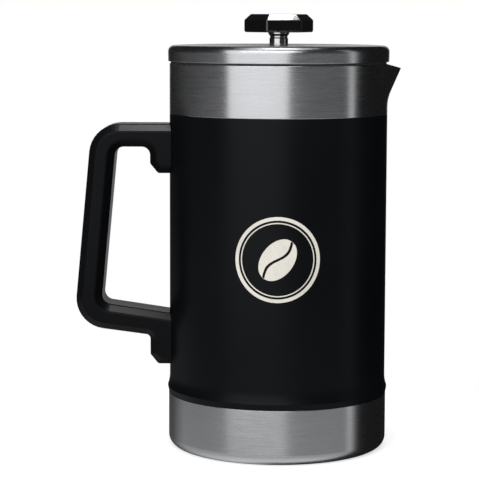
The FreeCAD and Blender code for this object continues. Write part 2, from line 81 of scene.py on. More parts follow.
seam_low, seam_high, rim = high_of("base_cup"), high_of("outer_shell"), high_of("spout_collar")
lid_low, lid_top = low_of("lid_cover"), high_of("lid_cover")
chimney_top, knob_low, knob_top = high_of("rod_guide"), low_of("knob"), high_of("knob")
body_radius = radius_of("outer_shell", seam_high - mm(1))
cup_radius = radius_of("base_cup")
lid_radius = radius_of("lid_cover")
bead_radius = radius_of("outer_shell")
rod_radius = radius_of("plunger_rod")
collar_radius = radius_of("spout_collar", -1, seam_high + mm(2))
wall = mm(0.8)
print("body radius", round(1000 * body_radius, 2), "mm, height", round(1000 * knob_top, 1), "mm")

# %% [markdown]
# ## Turned pieces
# Most of this press is turned or spun sheet metal, the same all round its axis. By hand one would add a
# circle and pull it up ring by ring, resizing each ring as it rises, round the rim and down the inside
# until the last ring meets the first. That gives clean rings of quads with a real wall thickness. Spinning
# a flat outline would also work, but rings are easier to bend afterwards, as the pouring beak needs.
#
# Real edges are never sharp, so the outline is written as corners with a radius, and a formula fills each
# corner with a short arc. Smooth shading spreads an arc's bend over the flat face beside it, so a narrow
# guard ring goes on each side of an arc, and weighted normals let the large faces decide.

# %% Turned pieces


def let_go():
    """Leaves edit mode and deselects everything, so that the next operator acts only on what it should."""
    if bpy.context.object is not None and bpy.context.object.mode != "OBJECT":
        bpy.ops.object.mode_set(mode="OBJECT")
    bpy.ops.object.select_all(action="DESELECT")


def pick(piece):
    let_go()
    piece.select_set(True)
    bpy.context.view_layer.objects.active = piece


guard = mm(0.25)


def soft_outline(corners, arc_steps=5):
    """Points of a closed outline of (distance, height, corner radius), with each corner rounded by an arc."""
    points = []
    for i, (distance, height, radius) in enumerate(corners):
        here = Vector((distance, height))
        back = Vector(corners[i - 1][:2]) - here
        ahead = Vector(corners[(i + 1) % len(corners)][:2]) - here
        if radius == 0:
            points.append(here)
            continue
        back_room, ahead_room = back.length, ahead.length
        back.normalize()
        ahead.normalize()
        half = back.angle(ahead) / 2
        reach = radius / math.tan(half)
        centre = here + (back + ahead).normalized() * (radius / math.sin(half))
        start = here + back * reach - centre
        end = here + ahead * reach - centre
        sweep = math.pi - 2 * half
        if back_room > reach + 3 * guard:
            points.append(centre + start + back * guard)
        for step in range(arc_steps + 1):
            share = step / arc_steps
            left = math.sin((1 - share) * sweep) / math.sin(sweep)
            right = math.sin(share * sweep) / math.sin(sweep)
            points.append(centre + start * left + end * right)
        if ahead_room > reach + 3 * guard:
            points.append(centre + end + ahead * guard)
    return points


def signed_volume(piece):
    """Volume of a closed mesh, below zero where its faces point inwards."""
    mesh = bmesh.new()
    mesh.from_mesh(piece.data)
    volume = mesh.calc_volume(signed=True)
    mesh.free()
    return volume


def close_piece(piece, smooth_angle=35):
    """Merges doubles, turns the faces outwards and shades the piece smooth up to an angle."""
    pick(piece)
    bpy.ops.object.mode_set(mode="EDIT")
    bpy.ops.mesh.select_all(action="SELECT")
    bpy.ops.mesh.remove_doubles(threshold=mm(0.002))
    bpy.ops.object.mode_set(mode="OBJECT")
    if signed_volume(piece) < 0:
        bpy.ops.object.mode_set(mode="EDIT")
        bpy.ops.mesh.select_all(action="SELECT")
        bpy.ops.mesh.flip_normals()
        bpy.ops.object.mode_set(mode="OBJECT")
    bpy.ops.object.shade_smooth_by_angle(angle=math.radians(smooth_angle))
    flatten = piece.modifiers.new("flat faces stay flat", "WEIGHTED_NORMAL")
    flatten.weight = 100
    flatten.keep_sharp = True
    bpy.ops.object.modifier_apply(modifier=flatten.name)
    print(piece.name, "faces", len(piece.data.polygons), "volume", round(signed_volume(piece) * 1e9), "mm3")
    return piece


def turned_piece(name, corners, sides=180, arc_steps=5, capped=False, smooth_angle=35):
    """A circle pulled up ring by ring along a closed outline. A capped piece is filled at both its ends."""
    points = soft_outline(corners, arc_steps)
    distance, height = points[0]
    let_go()
    bpy.ops.mesh.primitive_circle_add(vertices=sides, radius=distance, location=(0, 0, height))
    piece = bpy.context.object
    piece.name = name
    bpy.ops.object.transform_apply(location=True, rotation=True, scale=True)
    bpy.ops.object.mode_set(mode="EDIT")
    bpy.ops.mesh.select_all(action="SELECT")
    if capped:
        bpy.ops.mesh.edge_face_add()
        bpy.ops.mesh.select_all(action="SELECT")
    following = points[1:] if capped else points[1:] + points[:1]
    for next_distance, next_height in following:
        bpy.ops.mesh.extrude_edges_move(TRANSFORM_OT_translate={"value": (0, 0, next_height - height)})
        ratio = next_distance / distance
        bpy.ops.transform.resize(value=(ratio, ratio, 1), center_override=(0, 0, next_height))
        distance, height = next_distance, next_height
    if capped:
        bpy.ops.mesh.edge_face_add()
    bpy.ops.object.mode_set(mode="OBJECT")
    return close_piece(piece, smooth_angle)


def levels(low, high, distance, spacing):
    """Plain corners up a wall, so that it can be bent afterwards."""
    count = max(1, round(abs(high - low) / spacing))
    return [(distance, low + (high - low) * i / count, 0) for i in range(1, count)]


# %% [markdown]
# ## Sleeve
# The sleeve is the coated outer wall of the vessel. It is straight, with a bead above the base band: the
# sheet flares out a little on a long curve, turns over a narrow nose and runs back in to the seam. The soft
# upper edge leaves the fine line that shows where the coating stops at the collar.

# %% Sleeve
tail_radius = cup_radius - wall
nose_height = seam_low + mm(3.3)
flank_height = nose_height + mm(3.6)
sleeve_edge = mm(0.22)

sleeve = turned_piece("sleeve", [
    (tail_radius, low_of("outer_shell"), 0),
    (tail_radius, seam_low, 0),
    (cup_radius - mm(0.02), seam_low, sleeve_edge),
    (bead_radius, nose_height, mm(1.2)),
    (body_radius, flank_height, mm(19)),
    (body_radius, seam_high, sleeve_edge),
    (body_radius - wall, seam_high, 0),
    (body_radius - wall, flank_height, mm(19)),
    (bead_radius - wall, nose_height, mm(0.6)),
    (tail_radius - wall, seam_low + wall, 0),
    (tail_radius - wall, low_of("outer_shell"), 0),
], arc_steps=8)
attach(sleeve, "vessel")
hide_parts("outer_shell")

# %% [markdown]
# ## Base
# The base is a deep-drawn steel cup with a generous bottom corner. It stands on a ring, and the middle of
# its underside is raised, so that it stands firmly on a table that isn't quite flat.

# %% Base
foot_round = mm(5.9)
ring_outer = cup_radius - foot_round
ring_inner = ring_outer - mm(9)
recess = mm(1.5)

base = turned_piece("base", [
    (mm(4), recess, 0),
    (ring_inner - recess, recess, mm(1)),
    (ring_inner, 0, mm(1)),
    (cup_radius, 0, foot_round),
    (cup_radius, seam_low, sleeve_edge),
    (cup_radius - wall, seam_low, 0),
    (cup_radius - wall, wall, foot_round - wall),
    (ring_inner + recess, wall, mm(1)),
    (ring_inner, recess + wall, mm(1)),
    (mm(4), recess + wall, 0),
], arc_steps=8, capped=True)
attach(base, "vessel")
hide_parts("base_cup")

# %% [markdown]
# ## Collar and pouring beak
# The bare collar is one piece of steel with a beak drawn out of it. It starts as a turned ring with many
# levels. Then each point is pushed outwards by a formula: the push grows with height on a straight slope,
# blended at its foot, and falls away on both sides of the beak's keel. The lip is lowered along a slope, so
# that its rounded edge stays rounded. Before that, the points crowd together round the beak, where the bend
# is tightest.

# %% Collar and beak
collar_wall = mm(1.2)
beak_slope = 0.433
beak_start = seam_high + mm(8.4)
beak_blend = mm(4.5)
beak_half_angle = math.radians(18)
beak_sharpness = 1.35
keel_round = 0.14
lip_start = collar_radius - mm(2.35)
lip_slope = math.tan(math.radians(14.5))
crowding = 0.45


def beak_push(angle, height):
    """How far the wall stands out at an angle from the beak's keel and at a height."""
    above = height - beak_start
    if above <= -beak_blend:
        return 0.0
    keel = beak_slope * above
    if above < beak_blend:
        keel = beak_slope * (above + beak_blend) ** 2 / (4 * beak_blend)
    share = abs(angle) / beak_half_angle
    soft = math.hypot(share, keel_round) - keel_round
    full = math.hypot(1, keel_round) - keel_round
    return keel * max(0.0, 1 - soft / full) ** beak_sharpness


def lip_height(angle, distance):
    """Height of the sloping lip on a wall of that radius."""
    top = rim
    for _ in range(6):
        across = (distance + beak_push(angle, top)) * math.cos(angle)
        top = rim - max(0.0, across - lip_start) * lip_slope
    return top


rim_round = mm(0.45)
collar = turned_piece("collar", [
    (collar_radius, seam_high, sleeve_edge),
    *levels(seam_high, rim, collar_radius, mm(1.2)),
    (collar_radius, rim, rim_round),
    (collar_radius - collar_wall, rim, rim_round),
    *levels(rim, seam_high, collar_radius - collar_wall, mm(1.2)),
    (collar_radius - collar_wall, seam_high, 0),
], sides=240)

foot = beak_start - beak_blend
for vertex in collar.data.vertices:
    x, y, z = vertex.co
    distance = math.hypot(x, y)
    angle = math.atan2(y, x)
    angle -= crowding * math.sin(angle)
    if z > foot:
        z = foot + (z - foot) * (lip_height(angle, distance) - foot) / (rim - foot)
    out = distance + beak_push(angle, z)
    vertex.co = (out * math.cos(angle), out * math.sin(angle), z)
collar.data.update()
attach(collar, "vessel")
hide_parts("spout_collar")
print("beak reaches", round(1000 * max(v.co.x for v in collar.data.vertices), 2), "mm")

# %% [markdown]
# ## Lid
# The lid is a shallow pressed cap with a slightly tapered skirt, a large top radius and a hole for the
# rod's guide. A polished chimney stands in the middle, and the knob's flared ferrule rests on it.

# %% Lid, chimney and ferrule
neck_radius = rod_radius + mm(1.1)
skin = mm(0.95)
top_round = mm(3.35)
skirt_radius = lid_radius - mm(0.15)
skirt_edge = mm(0.3)

lid = turned_piece("lid", [
    (skirt_radius, lid_low, skirt_edge),
    (lid_radius, lid_top, top_round),
    (neck_radius, lid_top, 0),
    (neck_radius, lid_top - skin, 0),
    (skirt_radius - skin, lid_top - skin, top_round - skin),
    (skirt_radius - skin, lid_low, skirt_edge),
], arc_steps=10)
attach(lid, "lid")
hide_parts("lid_cover")

chimney_radius = radius_of("rod_guide")
guide_bore = rod_radius + mm(0.05)
groove_radius = rod_radius + mm(1.25)
groove_low, groove_high = lid_top + mm(1.35), lid_top + mm(2.65)
chimney = turned_piece("chimney", [
    (neck_radius, low_of("rod_guide"), mm(0.4)),
    (neck_radius, lid_top, 0),
    (chimney_radius, lid_top, mm(0.12)),
    (chimney_radius, chimney_top, mm(0.4)),
    (guide_bore, chimney_top, mm(0.3)),
    (guide_bore, groove_high, 0),
    (groove_radius, groove_high, 0),
    (groove_radius, groove_low, 0),
    (guide_bore, groove_low, 0),
    (guide_bore, low_of("rod_guide"), 0),
], sides=96)
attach(chimney, "lid")
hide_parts("rod_guide")

flare_radius = radius_of("knob_collar")
ferrule_radius = rod_radius + mm(1.9)
ferrule = turned_piece("ferrule", [
    (rod_radius, chimney_top, 0),
    (ferrule_radius, chimney_top, mm(0.4)),
    (ferrule_radius, chimney_top + mm(1.1), mm(0.4)),
    (flare_radius, chimney_top + mm(2.3), mm(0.4)),
    (flare_radius, knob_low, mm(0.15)),
    (rod_radius, knob_low, 0),
], sides=96)
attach(ferrule, "plunger")
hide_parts("knob_collar")

# %% [markdown]
# ## Filter spring
# The filter's edge is a fine coil spring bent into a ring, which presses the mesh against the wall all
# round. The frame holds it as a plain ring. The wire is wound round that ring's centre line, and stays
# inside its outer form.

# %% Filter spring
spring_low, spring_high = low_of("edge_spring"), high_of("edge_spring")
spring_section = (spring_high - spring_low) / 2
spring_centre = radius_of("edge_spring") - spring_section
spring_wire, spring_turns, turn_steps = mm(0.36), 216, 14
winding = spring_section - spring_wire - mm(0.02)
wire_line = bpy.data.curves.new("filter_spring", "CURVE")
wire_line.dimensions = "3D"
wire_path = wire_line.splines.new("POLY")
wire_path.points.add(spring_turns * turn_steps - 1)
for index, point in enumerate(wire_path.points):
    round_ring = 2 * math.pi * index / (spring_turns * turn_steps)
    round_wire = round_ring * spring_turns
    distance = spring_centre + winding * math.cos(round_wire)
    height = (spring_low + spring_high) / 2 + winding * math.sin(round_wire)
    point.co = (distance * math.cos(round_ring), distance * math.sin(round_ring), height, 1)
wire_path.use_cyclic_u = True
wire_line.bevel_depth = spring_wire
wire_line.bevel_resolution = 1
spring = bpy.data.objects.new("filter_spring", wire_line)
bpy.context.scene.collection.objects.link(spring)
pick(spring)
bpy.ops.object.convert(target="MESH")
spring = close_piece(bpy.context.object, 80)
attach(spring, "plunger")
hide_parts("edge_spring")

# %% [markdown]
# ## Knob
# The knob is a six-sided slab with a wide chamfer round its top. A six-sided cylinder already has its plan.
# Its top face is pulled up and shrunk for the chamfer, its bottom face is pushed down and shrunk for the
# small one, the upright edges are bevelled, and one narrow bevel then softens every edge that is left.

# %% Knob
knob_corner = mm(19.6)
knob_turn = math.radians(9.9)
side_height = mm(6.65)
bottom_chamfer = mm(0.7)
top_share = 0.812
upright_bevel = mm(0.75)
edge_softness = mm(0.4)


def choose_faces(piece, wanted):
    """Selects, in edit mode, the faces that a test picks."""
    bpy.ops.object.mode_set(mode="EDIT")
    bpy.ops.mesh.select_mode(type="FACE")
    bpy.ops.mesh.select_all(action="DESELECT")
    bpy.ops.object.mode_set(mode="OBJECT")
    for face in piece.data.polygons:
        face.select = wanted(face)
    bpy.ops.object.mode_set(mode="EDIT")


def choose_edges(piece, wanted):
    """Selects, in edit mode, the edges whose two ends a test picks."""
    bpy.ops.object.mode_set(mode="EDIT")
    bpy.ops.mesh.select_mode(type="EDGE")
    bpy.ops.mesh.select_all(action="DESELECT")
    bpy.ops.object.mode_set(mode="OBJECT")
    points = piece.data.vertices
    for edge in piece.data.edges:
        edge.select = wanted(points[edge.vertices[0]].co, points[edge.vertices[1]].co)
    bpy.ops.object.mode_set(mode="EDIT")


let_go()
bpy.ops.mesh.primitive_cylinder_add(vertices=6, radius=knob_corner, depth=side_height - bottom_chamfer,
                                    location=(0, 0, knob_low + (side_height + bottom_chamfer) / 2),
                                    rotation=(0, 0, knob_turn - math.pi / 6))
knob = bpy.context.object
knob.name = "knob_slab"
bpy.ops.object.transform_apply(location=True, rotation=True, scale=True)
choose_faces(knob, lambda face: face.normal.z > 0.9)
bpy.ops.mesh.extrude_region_move(TRANSFORM_OT_translate={"value": (0, 0, knob_top - knob_low - side_height)})
bpy.ops.transform.resize(value=(top_share, top_share, 1), center_override=(0, 0, knob_top))
choose_faces(knob, lambda face: face.normal.z < -0.9)
bpy.ops.mesh.extrude_region_move(TRANSFORM_OT_translate={"value": (0, 0, -bottom_chamfer)})
shrink = 1 - bottom_chamfer / (knob_corner * math.cos(math.pi / 6))
bpy.ops.transform.resize(value=(shrink, shrink, 1), center_override=(0, 0, knob_low))
choose_edges(knob, lambda a, b: abs(a.z - b.z) > mm(0.1))
bpy.ops.mesh.bevel(offset=upright_bevel, segments=6, affect="EDGES")
bpy.ops.object.mode_set(mode="OBJECT")
soften = knob.modifiers.new("soften", "BEVEL")
soften.width = edge_softness
soften.segments = 4
soften.limit_method = "ANGLE"
soften.angle_limit = math.radians(25)
bpy.ops.object.modifier_apply(modifier=soften.name)
close_piece(knob, smooth_angle=40)
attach(knob, "plunger")
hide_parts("knob")

# %% [markdown]
# ## Handle
# The handle is a moulded loop with wide chamfers and soft edges. Its side outline is a line with a radius
# at each corner. The loop is built as slices of that outline, from one side to the other: the outline is
# full in the middle, and near each side it shrinks along the chamfer. Every slice has the same number of
# points, so a circle is pulled up once for each slice, and then each of its points takes its place on the
# outline. That keeps the chamfer the same width round every bend, where the bevel tool would pinch it.

# %% Handle outline
handle_half = mm(14)
handle_chamfer = mm(4.0)
edge_round = mm(1.7)
pad_face = body_radius + mm(10.5)
upper_pad_low = high_of("handle") - mm(27.2)
lower_pad_low = low_of("handle")
grip_lean = math.tan(math.radians(5.35))
arm_slope = math.tan(math.radians(7.4))
arm_start = lower_pad_low + mm(16.3)
handle_top = high_of("handle")
grip_outer = body_radius + mm(42.85)
grip_depth = mm(14.3)
grip_shift = grip_depth / math.cos(math.atan(grip_lean))
arm_shift = grip_depth / math.cos(math.atan(arm_slope))
under_arm = handle_top - mm(12.6)


def grip_line(z, shift):
    return -(grip_outer + grip_lean * (handle_top - z)) + shift


def grip_meets_arm(shift_x, shift_z):
    """Where a line of the grip crosses a line of the lower arm."""
    level = arm_start + shift_z - arm_slope * (pad_face - grip_outer - grip_lean * handle_top + shift_x)
    z = level / (1 + arm_slope * grip_lean)
    return grip_line(z, shift_x), z


handle_inside = body_radius - mm(5)
outer_bend, inner_bend = mm(17), mm(5.2)
pad_cut_wide, pad_cut_tall, pad_round = mm(4.4), mm(5.4), mm(2)
handle_corners = [  # x, z, corner radius
    (-handle_inside, handle_top, 0),
    (-grip_outer, handle_top, outer_bend),
    (*grip_meets_arm(0, 0), outer_bend),
    (-pad_face, arm_start, mm(2.6)),
    (-pad_face, lower_pad_low + pad_cut_tall, pad_round),
    (-pad_face + pad_cut_wide, lower_pad_low, pad_round),
    (-handle_inside, lower_pad_low, 0),
    (-handle_inside, arm_start - arm_slope * (pad_face - handle_inside) + arm_shift, 0),
    (*grip_meets_arm(grip_shift, arm_shift), inner_bend),
    (grip_line(under_arm, grip_shift), under_arm, inner_bend),
    (-pad_face, under_arm, mm(4.6)),
    (-pad_face, upper_pad_low + pad_cut_tall, pad_round),
    (-pad_face + pad_cut_wide, upper_pad_low, pad_round),
    (-handle_inside, upper_pad_low, 0),
]
bend_steps = 9
bend_guard = mm(0.3)


def crossing(a, along_a, b, along_b):
    """Where two lines in the plane cross."""
    share = (b - a).cross(along_b) / along_a.cross(along_b)
    return a + along_a * share


def shrunk_outline(inset):
    """The handle's outline moved inwards, with its radii changed to suit. The point count stays the same."""
    corners = [Vector(corner[:2]) for corner in handle_corners]
    count = len(corners)
    lines = []
    for i, here in enumerate(corners):
        ahead = corners[(i + 1) % count]
        along = (ahead - here).normalized()
        inward = Vector((-along.y, along.x))
        against_sleeve = abs(here.x + handle_inside) < mm(0.01) and abs(ahead.x + handle_inside) < mm(0.01)
        lines.append((here + inward * (0 if against_sleeve else inset), along))
    points = []
    for i in range(count):
        (a, along_a), (b, along_b) = lines[i - 1], lines[i]
        corner = crossing(a, along_a, b, along_b)
        radius = handle_corners[i][2]
        turn = along_a.cross(along_b)
        radius = mm(0.02) if radius == 0 else max(mm(0.3), radius - inset if turn > 0 else radius + inset)
        half = (math.pi - along_a.angle(along_b)) / 2
        reach = radius / math.tan(half)
        centre = corner + (along_b - along_a).normalized() * (radius / math.sin(half))
        start, end = corner - along_a * reach - centre, corner + along_b * reach - centre
        sweep = math.pi - 2 * half
        points.append(centre + start - along_a * bend_guard)
        for step in range(bend_steps + 1):
            share = step / bend_steps
            left = math.sin((1 - share) * sweep) / math.sin(sweep)
            right = math.sin(share * sweep) / math.sin(sweep)
            points.append(centre + start * left + end * right)
        points.append(centre + end + along_b * bend_guard)
    return points


# %% [markdown]
# The slices follow the chamfer, whose two edges are rounded by arcs, and a last guard slice keeps the flat
# side flat. Where the handle meets the sleeve, the points of each slice go back to a circle just outside
# the sleeve, so the pads hug it. The screws' counterbores are cut last.

# %% Handle
chamfer_path = soft_outline([
    (0, 0, 0), (handle_half - handle_chamfer, 0, edge_round), (handle_half, handle_chamfer, edge_round),
    (handle_half, 2 * handle_chamfer, 0), (0, 2 * handle_chamfer, 0)], 5)
slices = [(place.x, place.y) for place in chamfer_path[1:-2]]
slices = [(mm(2), 0), (mm(6), 0)] + slices
slices = [(-across, inset) for across, inset in reversed(slices)] + slices
point_count = len(shrunk_outline(0))

let_go()
bpy.ops.mesh.primitive_circle_add(vertices=point_count, radius=mm(100), location=(0, 0, 0))
handle = bpy.context.object
handle.name = "handle_loop"
bpy.ops.object.mode_set(mode="EDIT")
bpy.ops.mesh.select_all(action="SELECT")
bpy.ops.mesh.edge_face_add()
bpy.ops.mesh.select_all(action="SELECT")
for _ in slices[1:]:
    bpy.ops.mesh.extrude_edges_move(TRANSFORM_OT_translate={"value": (0, 0, mm(1))})
bpy.ops.mesh.edge_face_add()
bpy.ops.object.mode_set(mode="OBJECT")

outlines = [shrunk_outline(inset) for _, inset in slices]
for vertex in handle.data.vertices:
    level = round(vertex.co.z / mm(1))
    number = round(math.atan2(vertex.co.y, vertex.co.x) / (2 * math.pi) * point_count) % point_count
    x, z = outlines[level][number]
    y = slices[level][0]
    sleeve_face = -math.sqrt((body_radius + mm(0.2)) ** 2 - y ** 2)
    vertex.co = (min(x, sleeve_face), y, z)
handle.data.update()
close_piece(handle)

screw_place = -(body_radius + mm(4.2))
bore_radius, bore_depth = mm(3.1), mm(8)
for pad_low in (lower_pad_low, upper_pad_low):
    let_go()
    bpy.ops.mesh.primitive_cylinder_add(vertices=48, radius=bore_radius, depth=bore_depth,
                                        location=(screw_place, 0, pad_low))
    bore = bpy.context.object
    pick(handle)
    cut = handle.modifiers.new("counterbore", "BOOLEAN")
    cut.object = bore
    cut.operation = "DIFFERENCE"
    cut.solver = "EXACT"
    bpy.ops.object.modifier_apply(modifier=cut.name)
    bpy.data.objects.remove(bore)
close_piece(handle)
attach(handle, "vessel")
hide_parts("handle")

# %% [markdown]
# ## Badge
# A round badge is printed on the front of the sleeve: a ring, a thin line and a plain coffee bean. The
# print is thinner than a sheet of paper, so each shape is a skin that hugs the sleeve. It is drawn flat,
# from a circle or a grid, and wrapped: the distance across becomes a length round the sleeve.

# %% Badge
badge_centre = (low_of("badge") + high_of("badge")) / 2
badge_radius = (high_of("badge") - low_of("badge")) / 2
print_skin = mm(0.05)


def finish_print(piece):
    """Gives a flat drawing, with x across and y up, its thickness, and wraps it on the sleeve's -Y side."""
    pick(piece)
    thick = piece.modifiers.new("thickness", "SOLIDIFY")
    thick.thickness = print_skin
    thick.offset = 0
    bpy.ops.object.modifier_apply(modifier=thick.name)
    for vertex in piece.data.vertices:
        across, up, out = vertex.co
        angle = across / body_radius
        distance = body_radius + print_skin / 2 + out
        vertex.co = (distance * math.sin(angle), -distance * math.cos(angle), badge_centre + up)
    piece.data.update()
    return close_piece(piece)


def flat_ring(name, outer, inner):
    """A thin ring, drawn flat from a circle that is pulled inwards."""
    let_go()
    bpy.ops.mesh.primitive_circle_add(vertices=160, radius=outer, location=(0, 0, 0))
    piece = bpy.context.object
    piece.name = name
    bpy.ops.object.mode_set(mode="EDIT")
    bpy.ops.mesh.select_all(action="SELECT")
    bpy.ops.mesh.extrude_edges_move(TRANSFORM_OT_translate={"value": (0, 0, 0)})
    bpy.ops.transform.resize(value=(inner / outer, inner / outer, 1), center_override=(0, 0, 0))
    bpy.ops.object.mode_set(mode="OBJECT")
    return finish_print(piece)


def bean_half(name, side):
    """One half of a coffee bean: a grid whose long sides become the bean's edge and the wavy cleft."""
    let_go()
    bpy.ops.mesh.primitive_grid_add(x_subdivisions=12, y_subdivisions=48, size=2, location=(0, 0, 0))
    piece = bpy.context.object
    piece.name = name
    for vertex in piece.data.vertices:
        u, v, _ = vertex.co
        edge = bean_width * math.sqrt(max(0.0, 1 - v * v))
        cleft = min(edge, max(-edge, bean_wave * math.sin(math.pi * v) + side * bean_gap / 2))
        share = (u + 1) / 2
        across = cleft + (side * edge - cleft) * share
        up = bean_length * v
        vertex.co = (across * math.cos(bean_lean) - up * math.sin(bean_lean),
                     across * math.sin(bean_lean) + up * math.cos(bean_lean), 0)
    return finish_print(piece)


bean_length, bean_width, bean_wave = mm(12.5), mm(8.6), mm(2.0)
bean_gap, bean_lean = mm(1.5), math.radians(-38)
emblem = [
    flat_ring("badge_ring", badge_radius, badge_radius - mm(1.9)),
    flat_ring("badge_line", badge_radius - mm(3.1), badge_radius - mm(3.7)),
    bean_half("badge_bean_left", -1),
    bean_half("badge_bean_right", 1),
]
for drawing in emblem:
    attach(drawing, "vessel")
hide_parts("badge")

# %% [markdown]
# ## Finishes
# Every finish starts from the Principled shader and adds what the real surface shows at its own scale. The
# patterns read Object coordinates, which are metres in the frame, so they stay on the piece when it moves.
# A value that is the same all over a piece is set on the shader's own socket.

# %% Finish helpers


class Finish:
    """A material with short ways to add nodes."""

    def __init__(self, name, **settings):
        self.material = bpy.data.materials.new(name)
        self.material.use_nodes = True
        self.tree = self.material.node_tree
        self.shader = self.tree.nodes["Principled BSDF"]
        for socket, value in settings.items():
            self.shader.inputs[socket.replace("_", " ")].default_value = value
        self.place = self.tree.nodes.new("ShaderNodeTexCoord").outputs["Object"]

    def node(self, kind, **links):
        """Adds a node. A link can be a number, a tuple or another node's output."""
        node = self.tree.nodes.new(kind)
        for name, value in links.items():
            socket = node.inputs[int(name[1:])] if name[1:].isdigit() else node.inputs[name.replace("_", " ")]
            if isinstance(value, bpy.types.NodeSocket):
                self.tree.links.new(value, socket)
            else:
                socket.default_value = value
        return node

    def sum_up(self, operation, *values):
        """A Math node on up to three values."""
        node = self.node("ShaderNodeMath", **{"_" + str(i): value for i, value in enumerate(values)})
        node.operation = operation
        return node.outputs[0]

    def noise(self, place, scale, detail=3.0, roughness=0.5):
        return self.node("ShaderNodeTexNoise", Vector=place, Scale=scale, Detail=detail,
                         Roughness=roughness).outputs["Fac"]

    def spread(self, value, low, high, from_low=0.3, from_high=0.7):
        """Maps a pattern's usual range to the range that a surface needs."""
        node = self.node("ShaderNodeMapRange", Value=value, From_Min=from_low, From_Max=from_high, To_Min=low,
                         To_Max=high)
        return node.outputs["Result"]

    def blend(self, share, first, second):
        """Mixes two colours."""
        node = self.node("ShaderNodeMix", _0=share, _6=first, _7=second)
        node.data_type = "RGBA"
        return node.outputs[2]

    def bump(self, height, depth, strength=1.0):
        """Bump of a depth in metres."""
        return self.node("ShaderNodeBump", Height=height, Strength=strength, Distance=depth).outputs["Normal"]

    def set(self, **links):
        for name, output in links.items():
            self.tree.links.new(output, self.shader.inputs[name.replace("_", " ")])


def dress(material, *pieces):
    """Gives a material to pieces, or to CAD nodes by name."""
    for piece in pieces:
        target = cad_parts[piece] if isinstance(piece, str) else piece
        if len(target.material_slots) == 0:
            target.data.materials.append(material)
        for slot in target.material_slots:
            slot.material = material
    print(material.name, "on", [piece if isinstance(piece, str) else piece.name for piece in pieces])


# %% [markdown]
# ### Brushed steel
# The collar, the base and the lid are brushed while they turn, so the lines run round the axis: along a
# wall they are level, and on the lid they are circles. One value holds both: height plus distance from the
# axis changes across the lines and stays the same along them. The grooves spread light across themselves,
# which anisotropy turned by a quarter does on a tangent that runs round the axis. Slow patterns along the
# lines break them into strokes.

# %% Brushed steel


def brushed(name, colour, roughness, anisotropy, groove, contrast):
    """Steel brushed round the axis, with lines about one groove wide."""
    finish = Finish(name, Metallic=1.0, Anisotropic=anisotropy, Anisotropic_Rotation=0.25)
    parts = finish.node("ShaderNodeSeparateXYZ", Vector=finish.place)
    x, y, z = parts.outputs
    flat = finish.node("ShaderNodeCombineXYZ", X=x, Y=y)
    distance = finish.node("ShaderNodeVectorMath", _0=flat.outputs[0])
    distance.operation = "LENGTH"
    across = finish.sum_up("ADD", z, distance.outputs["Value"])

    def lines(width, length):
        place = finish.node("ShaderNodeCombineXYZ", X=finish.sum_up("DIVIDE", x, length),
                            Y=finish.sum_up("DIVIDE", y, length), Z=finish.sum_up("DIVIDE", across, width))
        return finish.noise(place.outputs[0], 1.0, 4.0, 0.6)

    fine = lines(groove, mm(9))
    coarse = lines(groove * 6, mm(30))
    cloud = finish.noise(finish.place, 25.0, 2.0)
    both = finish.sum_up("ADD", finish.sum_up("MULTIPLY", fine, 0.65),
                         finish.sum_up("MULTIPLY", coarse, 0.35))
    dark = tuple(c * (1 - contrast) for c in colour) + (1.0,)
    bright = tuple(min(1.0, c * (1 + contrast)) for c in colour) + (1.0,)
    grain = finish.blend(finish.spread(both, 0.0, 1.0, 0.35, 0.65), dark, bright)
    rough = finish.sum_up("ADD", finish.spread(both, roughness - 0.05, roughness + 0.05),
                          finish.spread(cloud, -0.02, 0.02))
    finish.set(Base_Color=grain, Roughness=rough, Normal=finish.bump(both, mm(0.006)))
    tangent = finish.node("ShaderNodeTangent")
    tangent.direction_type = "RADIAL"
    tangent.axis = "Z"
    finish.set(Tangent=tangent.outputs["Tangent"])
    return finish.material


steel_colour = (0.568, 0.576, 0.594)
brushed_steel = brushed("brushed steel", steel_colour, 0.26, 0.75, mm(0.11), 0.12)
dress(brushed_steel, collar, base, lid)
satin_steel = brushed("satin liner steel", steel_colour, 0.34, 0.5, mm(0.2), 0.06)
dress(satin_steel, "inner_liner", "shell_bottom", "port_seal", "guide_washer", "cross_plate", "spring_plate")

# %% [markdown]
# ### Woven steel
# The mesh is woven from fine wire, over and under. The gaps between the wires are painted near black: painted
# shade where the real mesh is open.

# %% Woven steel
woven_finish = Finish("woven steel", Metallic=1.0)
weave_pitch = mm(0.5)
weave_scale = 2 * math.pi / (20 * weave_pitch)    # a wave node makes a band every 2 pi / 20
wires = []
for weave_direction in ("X", "Y"):
    wave = woven_finish.node("ShaderNodeTexWave", Vector=woven_finish.place, Scale=weave_scale)
    wave.bands_direction = weave_direction
    wires.append(wave.outputs["Fac"])
weave = woven_finish.sum_up("MAXIMUM", *wires)
wear = woven_finish.noise(woven_finish.place, 60.0, 3.0)
# Between the wires the colour goes near black: painted shade standing in for the mesh's openings.
woven_finish.set(Base_Color=woven_finish.blend(weave, (0.05, 0.05, 0.05, 1), (*steel_colour, 1)),
                 Roughness=woven_finish.spread(wear, 0.28, 0.42), Normal=woven_finish.bump(weave, mm(0.08)))
dress(woven_finish.material, "mesh_screen")

# %% [markdown]
# ### Polished steel
# The chimney, the ferrule, the rod and the spring are polished. Handling leaves hair scratches in every
# direction, and they show only as faint breaks in a reflection.

# %% Polished steel


def polished(name, colour, roughness):
    finish = Finish(name, Metallic=1.0)
    warp = finish.noise(finish.place, 300.0, 2.0)
    scratch = finish.node("ShaderNodeTexWave", Vector=finish.place, Scale=400.0, Distortion=18.0, Detail=3.0,
                          Detail_Scale=0.6).outputs["Fac"]
    dark = tuple(c * 0.93 for c in colour) + (1.0,)
    finish.set(Base_Color=finish.blend(warp, dark, colour + (1.0,)),
               Roughness=finish.spread(warp, roughness * 0.7, roughness * 1.6),
               Normal=finish.bump(scratch, mm(0.0006), 0.5))
    return finish.material


